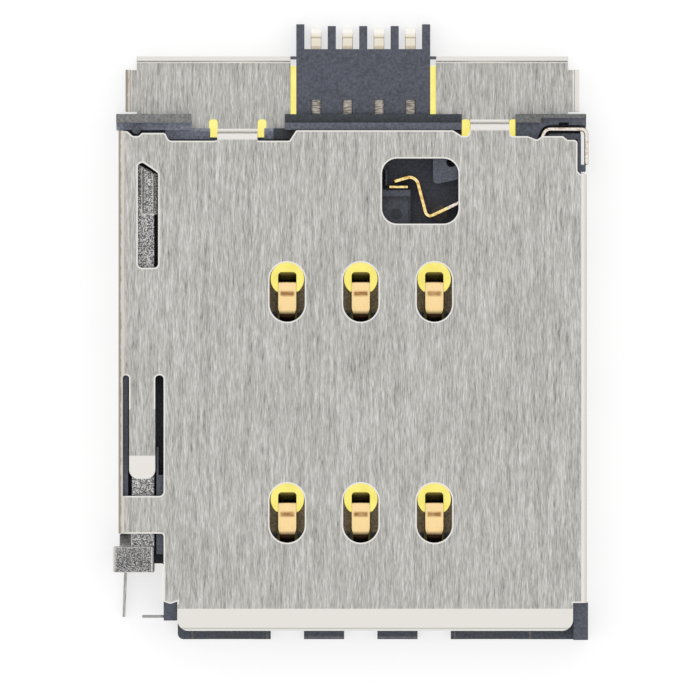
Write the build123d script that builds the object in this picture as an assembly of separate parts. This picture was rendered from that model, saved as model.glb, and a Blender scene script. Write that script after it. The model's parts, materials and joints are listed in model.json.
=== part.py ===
from build123d import *
import math
import os

os.makedirs("parts", exist_ok=True)

# A card reader for a phone: a moulded base under a folded steel shell, with six sprung
# contacts, a card-detect switch and a push rod that turns a lever to eject the tray.
# X and Y are measured from the centre of the card's contact field and Z from the board.
# The tray comes in from -Y. All sizes are in millimetres.

# Contact field of the card standard
CONTACT_PITCH = 2.54
CONTACT_ROW_SPAN = 7.62

# Heights, from the board up
FILM = 0.05
FLOOR = 0.30
SLOT_HEIGHT = 1.10
SHEET = 0.15
FLOOR_TOP = FILM + FLOOR
ROOF = FLOOR_TOP + SLOT_HEIGHT
TOP = ROOF + SHEET
SHELF_TOP = FILM + SHEET
WALL_TOP = ROOF - 0.08
LEDGE_TOP = ROOF - 0.40
SILL_TOP = ROOF - 0.50

# Widths, from the contact field's centre line outwards
TRAY_LEFT = 6.35
TRAY_RIGHT = 7.34
GUIDE_WALL = 0.45
ROD_CHANNEL = 1.41
RIGHT_WALL = 0.31
CHANNEL_RIGHT = -(TRAY_LEFT + GUIDE_WALL)
INNER_LEFT = CHANNEL_RIGHT - ROD_CHANNEL
INNER_RIGHT = TRAY_RIGHT + RIGHT_WALL
SHELL_LEFT = INNER_LEFT - SHEET
SHELL_RIGHT = INNER_RIGHT + SHEET
HOUSING_RIGHT = SHELL_RIGHT + 0.04

# Places at the front, all measured from the front of the shell's sides
SIDE_FRONT = -6.91
LIP_BEND = SIDE_FRONT - 0.20
HOUSING_FRONT = SIDE_FRONT - 1.28
FEET_REAR = HOUSING_FRONT + 0.35
GUIDE_FRONT = SIDE_FRONT - 0.61
STOP_PLACE = SIDE_FRONT - 0.48
PUSHER_FRONT = SIDE_FRONT + 1.05
PUSHER_REAR = PUSHER_FRONT + 0.89
STRAP_FRONT = PUSHER_REAR + 0.45
STRAP_REAR = STRAP_FRONT + 1.30
SIDE_START = STRAP_FRONT + 0.52
NOTCH_FLOOR = STRAP_FRONT - 1.05

# Places at the rear, all measured from the face that stops the tray
WALL_INNER = 9.09
WALL_REAR = WALL_INNER + 0.87
PLATE_REAR = WALL_INNER + 0.30
WALL_FRONT = WALL_INNER + 0.32
SHELF_FRONT = WALL_INNER + 0.38
SHELF_REAR = WALL_REAR + 2.00
COMB_FRONT = WALL_REAR + 2.25
SPRING_FRONT = WALL_INNER - 0.88
CORNER_FRONT = WALL_INNER - 1.19
SWITCH = WALL_INNER - 1.59

# Shell details
BEND = 0.07
CORNER = 0.10
RIM = 0.05
LIP_LENGTH = 0.76
LIP_FLARE = 9.0
LIP_INSET = 0.02
TONGUE_LEFT = INNER_LEFT + 0.22
TONGUE_WIDTH = 0.90
TONGUE_TIP = STRAP_REAR + 0.59
TONGUE_ROOT = TONGUE_TIP + 3.57
TONGUE_BEND = 0.80
TONGUE_DROP = 0.20
WINDOW_WIDTH = 1.22
WINDOW_LENGTH = 2.05
NECK_BEND = 0.14
RELIEF = 0.30
RELIEF_DEPTH = 0.33
SHELF_LIP = 0.70
SHELF_SIDE = 0.46
ARM_SHEET = 0.10
ARM_HEIGHT = 0.34
LATCH_LENGTH = 1.20
LATCH_HEIGHT = 0.40
LATCH_PROUD = 0.10
LATCH_PLAY = 0.04
RIGHT_LATCHES = (-4.9, 0.4, 5.4)
LEFT_LATCHES = (2.4, 5.4)

# Window over the card-detect switch
DETECT_LEFT = 0.73
DETECT_WIDTH = 2.64
DETECT_REAR = SWITCH + 0.92
DETECT_LENGTH = 2.25
DETECT_CORNER = 0.53

# Contacts
BLADE = 0.10
BLADE_WIDTH = 0.635
BLADE_ROOT_WIDTH = 0.52
BLADE_REACH = 2.75
BLADE_TIP = 0.69
BLADE_BEND = 0.28
LEAD_WIDTH = 0.30
LEAD_BEND = 0.05
LEAD_LEVEL = FILM + 0.14
RAMP_TOP = 0.86
CREST_LEVEL = 1.02
HOLE_RADIUS = 0.58
HOLE_OFFSET = 0.47
SLOT_GAP = 0.03

# Comb for the four leads
FINGER_PITCH = 1.087
FINGER_CENTRE = 0.085
FINGER_WIDTH = 0.36
FINGER_LEVEL = 0.52
COMB_HEIGHT = 0.85
COMB_WINDOW = 0.50
TOOTH_WIDTH = 0.28
OUTER_TOOTH = 0.86
INNER_TOOTH = 0.80
NIB = 0.20
NIB_DEPTH = 0.09

# Ejector
ROD_LEFT = 0.30
ROD_WIDTH = 0.78
ROD_HEAD_WIDTH = 0.99
ROD_HEAD_LENGTH = 0.85
ROD_LIFT = 0.07
ROD_HEIGHT = 0.80
ROD_GAP = 0.08
PAD_LEFT = 0.40
PAD_WIDTH = 0.37
PAD_PROUD = 0.04
PUSHER_LEFT = 0.19
PUSHER_TOP = 0.07
WING_HEIGHT = 0.50
PIVOT_X = CHANNEL_RIGHT + 1.43
PIVOT_Y = WALL_INNER - 1.72
PIN_RADIUS = 0.35
PIN_CLEARANCE = 0.03
PIN_HEAD = 0.52
HUB_RADIUS = 0.62
LEVER_HEIGHT = 0.60
LEVER_LIFT = 0.15
LEVER_HALF = 0.28
SHORT_ARM = 2.35
LONG_ARM = 4.20
SHORT_ANGLE = 151.0
LONG_ANGLE = -17.0
STOP_SHEET = 0.09
STOP_HEIGHT = 0.65

# Card-detect switch
LEAF = 0.13
LEAF_LOW = 0.10
LEAF_HEIGHT = 0.85
LEAF_SPARE = 0.08
TAB_LEFT = 0.966
TAB_WIDTH = 0.672
TAB = 0.11
TAB_FOOT = 1.10


def outline(*corners):
    """A closed plan outline. Each corner is x, y and, where it is rounded, a radius."""
    points = [(corner[0], corner[1]) for corner in corners]
    radii = [corner[2] if len(corner) > 2 else 0 for corner in corners]
    return make_face(FilletPolyline(*points, radius=radii, close=True))


def slab(face, low, high):
    """A plan face given its height."""
    return extrude(Pos(0, 0, low) * face, amount=high - low, dir=(0, 0, 1))


def block(x_low, x_high, y_low, y_high, z_low, z_high):
    """A plain box between its limits."""
    centre = Pos((x_low + x_high) / 2, (y_low + y_high) / 2, (z_low + z_high) / 2)
    return centre * Box(x_high - x_low, y_high - y_low, z_high - z_low)


def disc(x, y, radius, low, high):
    """An upright cylinder between two heights."""
    return slab(Pos(x, y) * Circle(radius), low, high)


def shift_corner(before, point, after, distance):
    """A corner of a path moved to the path's left, and which way the path turns there."""
    into = Vector(point[0] - before[0], point[1] - before[1])
    out = Vector(after[0] - point[0], after[1] - point[1])
    into = out if into.length == 0 else into
    out = into if out.length == 0 else out
    a = Vector(-into.Y, into.X).normalized()
    b = Vector(-out.Y, out.X).normalized()
    shift = (a + b) * (distance / (1 + a.dot(b)))
    return point[0] + shift.X, point[1] + shift.Y, a.X * b.Y - a.Y * b.X


def strip(points, inside, thickness):
    """A bent strip seen on edge. A point's third value is its own inside radius, 0 for sharp."""
    edges = {1: [], -1: []}
    for i, point in enumerate(points):
        radius = point[2] if len(point) > 2 else inside
        before = points[max(i - 1, 0)]
        after = points[min(i + 1, len(points) - 1)]
        for side, edge in edges.items():
            x, y, turn = shift_corner(before, point, after, side * thickness / 2)
            rounding = radius if side * turn > 0 else radius + thickness
            edge.append((x, y, rounding if radius and abs(turn) > 0.001 else 0))
    return outline(*edges[1], *reversed(edges[-1]))


def draw_in(corners, depth):
    """A closed outline's corners moved in by a depth, with its roundings kept concentric."""
    moved = []
    for i, corner in enumerate(corners):
        after = corners[(i + 1) % len(corners)]
        x, y, turn = shift_corner(corners[i - 1], corner, after, depth)
        radius = corner[2] if len(corner) > 2 else 0
        if radius:
            radius += depth if turn < 0 else -depth
        moved.append((x, y, radius))
    return moved


def side_on(face, x_low, x_high):
    """A section in Y and Z given its width along X."""
    return extrude(Plane.YZ.offset(x_low) * face, amount=x_high - x_low, dir=(1, 0, 0))


def end_on(face, y_low, y_high):
    """A section in X and Z given its length along Y."""
    return extrude(Plane.XZ.offset(-y_low) * face, amount=y_high - y_low, dir=(0, 1, 0))


def columns():
    return [-CONTACT_PITCH, 0.0, CONTACT_PITCH]


def rows():
    return [-CONTACT_ROW_SPAN / 2, CONTACT_ROW_SPAN / 2]


def finger_x(index):
    return FINGER_CENTRE + (index - 1.5) * FINGER_PITCH


def tooth_x(index):
    return FINGER_CENTRE + (index - 2) * FINGER_PITCH


# Places that follow from the comb and the sides

COMB_LEFT = tooth_x(0) - TOOTH_WIDTH / 2
COMB_RIGHT = tooth_x(4) + TOOTH_WIDTH / 2
LIP_LEFT = -TRAY_LEFT + LIP_INSET
LIP_RIGHT = TRAY_RIGHT - LIP_INSET
LEFT_NECK = (INNER_LEFT + COMB_LEFT) / 2 + 0.96
LEFT_NECK_WIDTH = 1.385
RIGHT_NECK = (INNER_RIGHT + COMB_RIGHT) / 2 - 0.57
RIGHT_NECK_WIDTH = 1.35
LEFT_NECK_START = PLATE_REAR - 0.34
RIGHT_NECK_START = PLATE_REAR - 0.02
LEFT_NECK_LOW = LEFT_NECK - LEFT_NECK_WIDTH / 2
LEFT_NECK_HIGH = LEFT_NECK + LEFT_NECK_WIDTH / 2
RIGHT_NECK_LOW = RIGHT_NECK - RIGHT_NECK_WIDTH / 2
RIGHT_NECK_HIGH = RIGHT_NECK + RIGHT_NECK_WIDTH / 2


# Top shell

def shell_plan():
    """The corners of the shell's edge seen from above. Its sides run past the bends."""
    left = SHELL_LEFT - RIM
    right = SHELL_RIGHT + RIM
    bulge = SIDE_FRONT + 0.05
    shallow = PLATE_REAR - 0.09
    saddle = PLATE_REAR - 0.20
    dip = PLATE_REAR - 0.33
    step = PLATE_REAR - 0.36
    post = INNER_LEFT + 0.45
    corner = INNER_RIGHT - 0.18
    return [
        (left, STRAP_FRONT),
        (CHANNEL_RIGHT, STRAP_FRONT, CORNER),
        (CHANNEL_RIGHT, bulge),
        (CHANNEL_RIGHT + 0.23, bulge - 0.09, 2 * CORNER),
        (LIP_LEFT, bulge),
        (LIP_LEFT, LIP_BEND),
        (LIP_RIGHT, LIP_BEND),
        (LIP_RIGHT, SIDE_FRONT),
        (right, SIDE_FRONT),
        (right, CORNER_FRONT - 0.02),
        (INNER_RIGHT - 0.07, CORNER_FRONT - 0.02),
        (corner, CORNER_FRONT + 0.09),
        (corner, dip, 0.12),
        (corner - 0.34, dip),
        (corner - 0.50, saddle),
        (corner - 1.22, saddle, CORNER),
        (corner - 1.39, dip, CORNER),
        (corner - 1.72, saddle),
        (RIGHT_NECK_HIGH + RIM, saddle, CORNER),
        (RIGHT_NECK_HIGH, RIGHT_NECK_START),
        (RIGHT_NECK_LOW, RIGHT_NECK_START),
        (RIGHT_NECK_LOW - CORNER, saddle, CORNER),
        (RIGHT_NECK_LOW - 0.28, saddle, CORNER),
        (RIGHT_NECK_LOW - 0.60, PLATE_REAR),
        (COMB_LEFT, PLATE_REAR, CORNER),
        (COMB_LEFT - 0.23, step, CORNER),
        (LEFT_NECK_HIGH + RIM, step, CORNER),
        (LEFT_NECK_HIGH, LEFT_NECK_START),
        (LEFT_NECK_LOW, LEFT_NECK_START),
        (LEFT_NECK_LOW - CORNER, step, CORNER),
        (CHANNEL_RIGHT + 0.18, step, 1.5 * CORNER),
        (CHANNEL_RIGHT + 0.05, shallow, CORNER),
        (post + 0.20, shallow, CORNER),
        (post + 0.10, saddle, CORNER),
        (post - 0.10, saddle, CORNER),
        (post - 0.29, PLATE_REAR - 0.03, CORNER),
        (left, PLATE_REAR),
    ]


def rolled_plate():
    """The plan as a solid whose upper edge is rolled in by the rim, as shearing leaves it."""
    top = Pos(0, 0, TOP) * outline(*draw_in(shell_plan(), RIM))
    rim = extrude(top, amount=RIM, dir=(0, 0, -1), taper=-45)
    foot = rim.faces().sort_by(Axis.Z)[0]
    return rim + extrude(foot, amount=TOP - RIM, dir=(0, 0, -1))


def opening(plan):
    """A cut through the plate, with the same rolled rim round its upper edge."""
    rim = extrude(Pos(0, 0, TOP - RIM) * plan, amount=RIM, taper=-45)
    return slab(plan, ROOF - SHEET, TOP) + rim


def shell_body():
    """The top plate and its two side walls, bent from one width of sheet."""
    half = SHEET / 2
    points = [
        (SHELL_LEFT + half, 0),
        (SHELL_LEFT + half, TOP - half),
        (SHELL_RIGHT - half, TOP - half),
        (SHELL_RIGHT - half, 0),
    ]
    walls = end_on(strip(points, BEND, SHEET), LIP_BEND, PLATE_REAR)
    body = walls & rolled_plate()
    return body - block(SHELL_LEFT, INNER_LEFT, STRAP_FRONT, SIDE_START, 0, TOP - 2 * SHEET)


def shell_lip():
    """The lead-in across the mouth: the plate's front edge, flared up a little."""
    rise = LIP_LENGTH * math.tan(math.radians(LIP_FLARE))
    level = TOP - SHEET / 2
    front = LIP_BEND - LIP_LENGTH
    points = [(LIP_BEND + SHEET, level), (LIP_BEND, level), (front, level + rise)]
    flare = side_on(strip(points, SHEET, SHEET), LIP_LEFT, LIP_RIGHT)
    plan = outline(
        (LIP_LEFT, LIP_BEND + SHEET),
        (LIP_LEFT, front, 4 * CORNER),
        (LIP_RIGHT, front, 4 * CORNER),
        (LIP_RIGHT, LIP_BEND + SHEET),
    )
    return flare & slab(plan, ROOF - SHEET, TOP + 2 * SHEET)


def shell_neck(low, high, start):
    """The narrow web that steps the sheet down from the top plate to the rear shelf."""
    half = SHEET / 2
    drop = start + NECK_BEND + half
    points = [
        (start - SHEET, TOP - half),
        (drop, TOP - half),
        (drop, FILM + half),
        (SHELF_FRONT + 2 * RELIEF_DEPTH, FILM + half),
    ]
    return side_on(strip(points, NECK_BEND, SHEET), low, high)


def shelf_half(outer, inner, shoulder, near, far):
    """Half of the rear shelf: a flat plate with its rear and outer edges turned up."""
    half = SHEET / 2
    side = 1 if outer > inner else -1
    turn = SHEET + BEND
    front_side = SHELF_FRONT + 0.58
    rear_side = SHELF_REAR - SHELF_SIDE
    top = SHELF_FRONT + RELIEF_DEPTH
    round_top = 0.4 * RELIEF
    plate = outline(
        (inner, SHELF_FRONT),
        (near - side * RELIEF, SHELF_FRONT),
        (near - side * RELIEF, top, round_top),
        (near, top, round_top),
        (near, SHELF_FRONT - LIP_INSET),
        (far, SHELF_FRONT - LIP_INSET),
        (far, top, round_top),
        (far + side * RELIEF, top, round_top),
        (far + side * RELIEF, SHELF_FRONT),
        (shoulder, SHELF_FRONT),
        (shoulder, front_side),
        (outer - side * turn, front_side),
        (outer - side * turn, rear_side),
        (shoulder, rear_side),
        (shoulder, SHELF_REAR - turn),
        (inner, SHELF_REAR - turn),
    )
    rear = [
        (SHELF_REAR - 2 * turn, FILM + half),
        (SHELF_REAR - half, FILM + half),
        (SHELF_REAR - half, SHELF_LIP),
    ]
    flange = [
        (outer - side * 2 * turn, FILM + half),
        (outer - side * half, FILM + half),
        (outer - side * half, SHELF_LIP),
    ]
    shelf = slab(plate, FILM, SHELF_TOP)
    shelf += side_on(strip(rear, BEND, SHEET), min(inner, shoulder), max(inner, shoulder))
    shelf += end_on(strip(flange, BEND, SHEET), front_side, rear_side)
    return shelf


def tongue_opening():
    """The cut-out round the sprung tongue that presses on the rod."""
    left = INNER_LEFT
    right = CHANNEL_RIGHT
    tongue_right = TONGUE_LEFT + TONGUE_WIDTH
    narrow = 0.45 * (TONGUE_LEFT - left)
    wide = 0.45 * (right - tongue_right)
    return outline(
        (left, TONGUE_ROOT, narrow),
        (TONGUE_LEFT, TONGUE_ROOT, narrow),
        (TONGUE_LEFT, TONGUE_TIP),
        (tongue_right, TONGUE_TIP),
        (tongue_right, TONGUE_ROOT, wide),
        (right, TONGUE_ROOT, wide),
        (right, STRAP_REAR, 1.6 * CORNER),
        (left, STRAP_REAR),
    )


def shell_tongue():
    """The tongue's free end, bent down on to the rod, with a rounded tip."""
    level = TOP - SHEET / 2
    right = TONGUE_LEFT + TONGUE_WIDTH
    rear = TONGUE_TIP + 3 * TONGUE_BEND
    points = [(rear, level), (TONGUE_TIP + TONGUE_BEND, level), (TONGUE_TIP, level - TONGUE_DROP)]
    radius = 0.35 * TONGUE_WIDTH
    tip = outline(
        (TONGUE_LEFT, rear),
        (TONGUE_LEFT, TONGUE_TIP, radius),
        (right, TONGUE_TIP, radius),
        (right, rear),
    )
    bent = side_on(strip(points, SHEET, SHEET), TONGUE_LEFT, right)
    return bent & slab(tip, 0, TOP)


def rod_slot():
    """The opening that shows the rod's nose where it meets the lever."""
    left = INNER_LEFT + 0.52
    right = left + 0.70
    front = PIVOT_Y - 2.72
    return outline(
        (left, front, 0.14),
        (right, front, 0.14),
        (right, PIVOT_Y + 0.54, CORNER),
        (left + 0.17, PIVOT_Y + 0.92, CORNER),
        (left, PIVOT_Y + 0.84, CORNER),
    )


def detect_window():
    """The window over the card-detect switch."""
    right = DETECT_LEFT + DETECT_WIDTH
    front = DETECT_REAR - DETECT_LENGTH
    return outline(
        (DETECT_LEFT, front, DETECT_CORNER),
        (right, front, DETECT_CORNER),
        (right, DETECT_REAR, DETECT_CORNER),
        (DETECT_LEFT, DETECT_REAR, DETECT_CORNER),
    )


def front_arm():
    """The thin strip that runs on from the left side wall, low under the pusher."""
    middle = SHELL_LEFT + SHEET / 2
    points = [
        (middle, SIDE_START + 0.40),
        (middle, SIDE_START - 0.20),
        (middle + 0.19, SIDE_START - 0.85),
        (middle + 0.09, SIDE_START - 3.42),
    ]
    return slab(strip(points, 2 * ARM_SHEET, ARM_SHEET), 0, ARM_HEIGHT)


def latches(play, reach):
    """The wedges on the base that snap into windows in the shell's side walls."""
    half = LATCH_LENGTH / 2 + play
    low = FLOOR_TOP + 0.25 - play
    high = low + LATCH_HEIGHT + 2 * play
    found = [block(INNER_RIGHT, INNER_RIGHT + reach, y - half, y + half, low, high) for y in RIGHT_LATCHES]
    found += [block(INNER_LEFT - reach, INNER_LEFT, y - half, y + half, low, high) for y in LEFT_LATCHES]
    return found


def make_top_shell():
    shell = shell_body() + shell_lip() + front_arm()
    shell += shell_neck(LEFT_NECK_LOW, LEFT_NECK_HIGH, LEFT_NECK_START)
    shell += shell_neck(RIGHT_NECK_LOW, RIGHT_NECK_HIGH, RIGHT_NECK_START)
    left_edge = INNER_LEFT + 0.08
    right_edge = INNER_RIGHT - 0.10
    shell += shelf_half(
        left_edge, COMB_LEFT - NIB, left_edge + SHELF_SIDE - 0.08, LEFT_NECK_HIGH, LEFT_NECK_LOW
    )
    shell += shelf_half(
        right_edge, COMB_RIGHT + NIB, right_edge - SHELF_SIDE + 0.08, RIGHT_NECK_LOW, RIGHT_NECK_HIGH
    )
    for x in columns():
        for y in rows():
            shell -= opening(Pos(x, y) * Rot(0, 0, 90) * SlotOverall(WINDOW_LENGTH, WINDOW_WIDTH))
    for plan in (detect_window(), rod_slot(), tongue_opening()):
        shell -= opening(plan)
    shell -= block(
        TONGUE_LEFT, TONGUE_LEFT + TONGUE_WIDTH,
        TONGUE_TIP, TONGUE_TIP + 2 * TONGUE_BEND,
        ROOF - SHEET, TOP,
    )
    shell += shell_tongue()
    for window in latches(LATCH_PLAY, SHEET):
        shell -= window
    return shell


# Contacts

def blade_side(y):
    """A contact seen from the side: flat root, long rise, slow crown, steep tip."""
    return strip(
        [
            (y - BLADE_REACH, LEAD_LEVEL),
            (y - 0.78 * BLADE_REACH, LEAD_LEVEL),
            (y - 0.31 * BLADE_REACH, RAMP_TOP),
            (y - 0.08, CREST_LEVEL),
            (y + 0.32, CREST_LEVEL - 0.09),
            (y + BLADE_TIP, FILM + 0.09),
        ],
        BLADE_BEND,
        BLADE,
    )


def blade_plan(x, y):
    """A contact seen from above: wide at the crest, narrower towards its root."""
    root = BLADE_ROOT_WIDTH / 2
    wide = BLADE_WIDTH / 2
    tip = y + BLADE_TIP + 0.01
    return outline(
        (x - root, y - BLADE_REACH),
        (x + root, y - BLADE_REACH),
        (x + root, y - 0.80),
        (x + wide, y - 0.55),
        (x + wide, tip, 0.12),
        (x - wide, tip, 0.12),
        (x - wide, y - 0.55),
        (x - root, y - 0.80),
    )


def make_blade(x, y):
    half = BLADE_WIDTH / 2
    return side_on(blade_side(y), x - half, x + half) & slab(blade_plan(x, y), 0, TOP)


def make_lead(x, y, side_x, finger):
    """The moulded-in lead from a contact's root to its finger on the comb."""
    half = BLADE / 2
    root = y - BLADE_REACH + LEAD_WIDTH / 2
    end = finger_x(finger)
    turn = CONTACT_ROW_SPAN / 2 + 1.6
    joggle = abs(end - side_x)
    if joggle < LEAD_BEND:
        route = [(x, root), (end, root), (end, WALL_REAR)]
    else:
        route = [(x, root), (side_x, root), (side_x, turn), (end, turn + joggle), (end, WALL_REAR)]
    lead = slab(strip(route, 0, LEAD_WIDTH), LEAD_LEVEL - half, LEAD_LEVEL + half)
    rise = [
        (WALL_REAR - 0.45, LEAD_LEVEL),
        (WALL_REAR - 0.35, LEAD_LEVEL, 0),
        (WALL_REAR - 0.05, FINGER_LEVEL, 0),
        (COMB_FRONT + 0.36, FINGER_LEVEL),
        (COMB_FRONT + 0.74, half),
    ]
    lead += side_on(strip(rise, LEAD_BEND, BLADE), end - FINGER_WIDTH / 2, end + FINGER_WIDTH / 2)
    return lead


def make_stub(x):
    """What is left of the carrier strip in front of a front contact."""
    half = BLADE / 2
    wide = BLADE_ROOT_WIDTH / 2
    root = -CONTACT_ROW_SPAN / 2 - BLADE_REACH
    return block(x - wide, x + wide, FEET_REAR + 0.05, root, LEAD_LEVEL - half, LEAD_LEVEL + half)


def make_contacts():
    left, middle, right = columns()
    front, back = rows()
    beside = BLADE_WIDTH + LEAD_WIDTH
    return {
        "contact_vcc": make_blade(left, back) + make_lead(left, back, finger_x(0), 0),
        "contact_reset": make_blade(middle, back) + make_lead(middle, back, middle - beside, 1),
        "contact_clock": make_blade(right, back) + make_lead(right, back, finger_x(3), 3),
        "contact_ground": make_blade(left, front) + make_stub(left),
        "contact_program": make_blade(middle, front) + make_stub(middle),
        "contact_data": make_blade(right, front)
        + make_stub(right)
        + make_lead(right, front, middle + beside, 2),
    }


# Card-detect switch

def leaf_plan(spare):
    """The switch's leaf on edge or, with a spare, the channel that it runs in."""
    rear = PLATE_REAR + 0.045
    leg = SHELL_RIGHT - 0.01
    tip = TAB_LEFT + 0.18
    route = [
        (tip, SWITCH + 0.126, 0),
        (tip + 0.753, SWITCH + 0.35, 0.235),
        (tip + 1.14, SWITCH - 1.128, 0.10),
        (leg - 1.89, SWITCH + 0.59, 0.10),
        (leg - 1.42, rear, 0.18),
        (leg, rear, 0.12),
        (leg, SPRING_FRONT, 0),
    ]
    return strip([(x, y, inside - spare) for x, y, inside in route], 0, LEAF + 2 * spare)


def make_detect_spring():
    """The switch's leaf: a strip on edge, bent in plan, anchored at the rear right corner."""
    low = FLOOR_TOP + LEAF_LOW
    return slab(leaf_plan(0), low, low + LEAF_HEIGHT)


def make_detect_contact():
    """The switch's fixed side: an upright tab whose foot lies in the floor."""
    right = TAB_LEFT + TAB_WIDTH
    low = LEAD_LEVEL + BLADE / 2 + 0.01
    tab = block(TAB_LEFT, right, SWITCH - TAB, SWITCH, low, FLOOR_TOP + 0.80)
    return tab + block(TAB_LEFT, right, SWITCH - TAB_FOOT, SWITCH, low, FLOOR_TOP - 0.02)


# Ejector

ROD_X = INNER_LEFT + ROD_LEFT
ROD_RIGHT = ROD_X + ROD_WIDTH
ROD_LOW = FLOOR_TOP + ROD_LIFT
ROD_TOP = ROD_LOW + ROD_HEIGHT


def lever_edge(x):
    """The height of the short arm's near edge above a place on X, less the rod's gap."""
    slope = math.tan(math.radians(180 - SHORT_ANGLE))
    drop = (LEVER_HALF + ROD_GAP) / math.cos(math.radians(180 - SHORT_ANGLE))
    return PIVOT_Y + (PIVOT_X - x) * slope - drop


def make_eject_rod():
    """The push rod: a flat bar with a pusher at one end and a slanted nose at the other."""
    nose = ROD_X + ROD_HEAD_WIDTH
    head = PIVOT_Y - ROD_HEAD_LENGTH
    middle = (PUSHER_FRONT + PUSHER_REAR) / 2
    bar = outline(
        (ROD_X, middle),
        (ROD_RIGHT, middle),
        (ROD_RIGHT, head - 0.05),
        (nose, head, RIM),
        (nose, lever_edge(nose), RIM),
        (ROD_X, lever_edge(ROD_X), RIM),
    )
    rod = slab(bar, ROD_LOW, ROD_TOP)
    left = SHELL_LEFT - PUSHER_LEFT
    top = TOP - PUSHER_TOP
    section = outline(
        (left, ROD_LOW),
        (ROD_RIGHT, ROD_LOW),
        (ROD_RIGHT, top - 0.09),
        (ROD_RIGHT - 0.09, top),
        (left + 0.18, top),
        (left, top - 0.06),
    )
    ends = outline(
        (left, PUSHER_FRONT, RIM),
        (ROD_RIGHT, PUSHER_FRONT, RIM),
        (ROD_RIGHT, PUSHER_REAR, RIM),
        (left, PUSHER_REAR, RIM),
    )
    rod += end_on(section, PUSHER_FRONT, PUSHER_REAR) & slab(ends, ROD_LOW, top)
    wing = outline(
        (SHELL_LEFT + 0.02, PUSHER_REAR - CORNER),
        (ROD_X + CORNER, PUSHER_REAR - CORNER),
        (ROD_X + CORNER, STRAP_FRONT + 0.02),
        (SHELL_LEFT + 0.02, STRAP_FRONT + 0.02, CORNER),
    )
    rod += slab(wing, ROD_LOW, ROD_LOW + WING_HEIGHT)
    pad_left = ROD_X + PAD_LEFT
    pad_right = pad_left + PAD_WIDTH
    pad = outline(
        (pad_left, head, CORNER),
        (pad_right, head, CORNER),
        (pad_right, lever_edge(pad_right) - RIM, RIM),
        (pad_left, lever_edge(pad_left) - RIM, RIM),
    )
    return rod + slab(pad, ROD_TOP, ROD_TOP + PAD_PROUD)


LEVER_LOW = FLOOR_TOP + LEVER_LIFT
LEVER_TOP = LEVER_LOW + LEVER_HEIGHT


def make_eject_lever():
    """The hidden lever: the rod lifts its short arm and its long arm pushes the tray out."""
    plan = Circle(HUB_RADIUS)
    for length, angle in ((SHORT_ARM, SHORT_ANGLE), (LONG_ARM, LONG_ANGLE)):
        plan += Rot(0, 0, angle) * Pos(length / 2, 0) * SlotCenterToCenter(length, 2 * LEVER_HALF)
    plan -= Circle(PIN_RADIUS + PIN_CLEARANCE)
    return slab(Pos(PIVOT_X, PIVOT_Y) * plan, LEVER_LOW, LEVER_TOP)


def make_lever_pivot():
    """The rivet that holds the lever down on its boss."""
    head = LEVER_TOP + PIN_CLEARANCE
    rivet = disc(PIVOT_X, PIVOT_Y, PIN_RADIUS, FILM + BLADE, head)
    rivet += disc(PIVOT_X, PIVOT_Y, PIN_HEAD, head, head + SHEET)
    return chamfer(rivet.edges().group_by(Axis.Z)[-1], PIN_CLEARANCE)


def make_rod_stop():
    """The strip set on edge in the front block, which stops the pusher on its way out."""
    half = STOP_SHEET / 2
    return block(
        CHANNEL_RIGHT - 0.75, CHANNEL_RIGHT + 0.30,
        STOP_PLACE - half, STOP_PLACE + half,
        ROD_LOW, ROD_LOW + STOP_HEIGHT,
    )


# Base housing

def housing_floor():
    """The floor's edge: narrow at the front notch, then out to the shell's sides."""
    rib = INNER_LEFT + 0.21
    return outline(
        (LIP_LEFT, FEET_REAR),
        (HOUSING_RIGHT, FEET_REAR),
        (HOUSING_RIGHT, SIDE_FRONT),
        (INNER_RIGHT, SIDE_FRONT),
        (INNER_RIGHT, CORNER_FRONT),
        (INNER_RIGHT - 0.05, CORNER_FRONT),
        (INNER_RIGHT - 0.05, WALL_INNER + 0.08),
        (INNER_LEFT, WALL_INNER + 0.08),
        (INNER_LEFT, SIDE_START - 0.10),
        (rib, SIDE_START - 0.10),
        (rib, NOTCH_FLOOR),
        (CHANNEL_RIGHT, NOTCH_FLOOR, CORNER),
        (CHANNEL_RIGHT, GUIDE_FRONT),
        (LIP_LEFT, GUIDE_FRONT),
    )


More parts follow.
